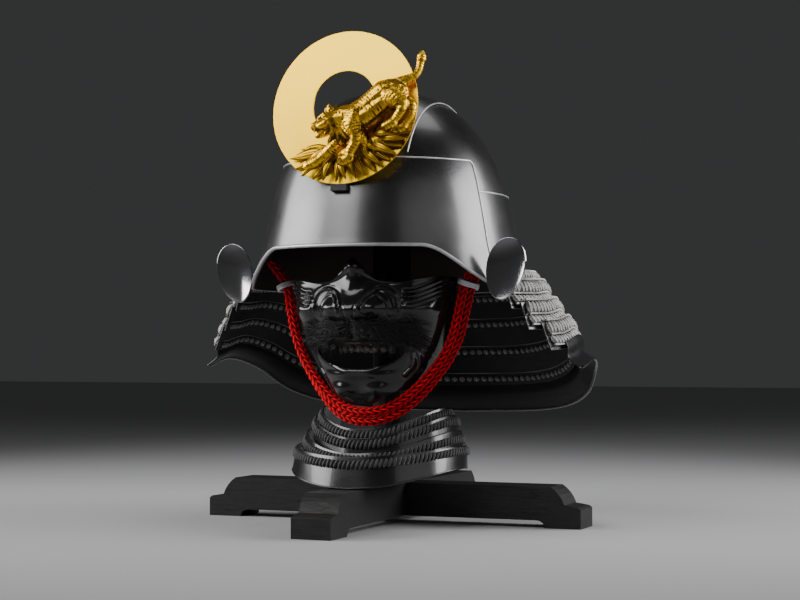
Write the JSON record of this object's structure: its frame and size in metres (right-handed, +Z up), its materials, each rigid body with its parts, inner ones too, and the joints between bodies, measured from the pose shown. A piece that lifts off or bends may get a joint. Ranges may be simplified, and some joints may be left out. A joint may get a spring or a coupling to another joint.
{
  "type": "samurai helmet and half mask on stand",
  "caption": "Kabuto helmet with laced neck guard, side turn-backs, ring crest with cast tiger, lacquered half mask, laced throat guard and doubled chin cord, on a plain crossed wooden stand.",
  "frame": {"origin": "on the floor under the middle of the whole object's box", "axes": "+Z up, the face looks along -Y, the wearer's left is +X"},
  "size_m": [0.396, 0.3966, 0.4708],
  "materials": {
    "wood": "black stained open-grain wood, satin",
    "bowl_lacquer": "grey-black lacquer over iron, semi-gloss",
    "lame_lacquer": "black lacquer, glossy",
    "turn_back_metal": "silver-grey satin metal with a dark edge",
    "crest_gold": "pale gold, satin",
    "cast_gold": "antique gold casting, dark in the hollows",
    "black_iron": "blackened iron",
    "mask_lacquer": "black lacquer, high gloss",
    "teeth": "ivory-coloured lacquer",
    "hair": "coarse black hair",
    "grey_lacing": "braided silk lace, silver-grey",
    "black_lacing": "braided silk lace, black",
    "red_cord": "thick braided silk cord, scarlet",
    "white_silk": "white silk winding",
    "lining_cloth": "quilted hemp lining, dark red-brown"
  },
  "bodies": {
    "root": {"stand_board_wide": "wood", "stand_board_deep": "wood", "support_post": "wood", "bowl_brow_plate": "bowl_lacquer", "bowl_crown_strip": "bowl_lacquer", "bowl_rear_band": "bowl_lacquer", "bowl_side_plate_left": "bowl_lacquer", "bowl_side_plate_right": "bowl_lacquer", "bowl_lining": "lining_cloth", "turn_back_left": "turn_back_metal", "turn_back_right": "turn_back_metal", "neck_guard_lame_1": "lame_lacquer", "neck_guard_lacing_1": "grey_lacing", "neck_guard_lame_2": "lame_lacquer", "neck_guard_lacing_2": "grey_lacing", "neck_guard_lame_3": "lame_lacquer", "neck_guard_lacing_3": "grey_lacing", "neck_guard_lame_4": "lame_lacquer", "neck_guard_lacing_4": "grey_lacing", "neck_guard_lame_5": "lame_lacquer", "crest_disc": "crest_gold", "crest_tiger": "cast_gold", "crest_holder": "black_iron", "mask_shell": "mask_lacquer", "mask_upper_teeth": "teeth", "mask_moustache": "hair", "throat_guard_lame_1": "lame_lacquer", "throat_guard_lacing_1": "black_lacing", "throat_guard_lame_2": "lame_lacquer", "throat_guard_lacing_2": "black_lacing", "throat_guard_lame_3": "lame_lacquer", "throat_guard_lacing_3": "black_lacing", "throat_guard_lame_4": "lame_lacquer", "throat_guard_lacing_4": "black_lacing", "chin_cord_front": "red_cord", "chin_cord_back": "red_cord", "cord_binding_left": "white_silk", "cord_binding_right": "white_silk"}
  },
  "joints": []
}
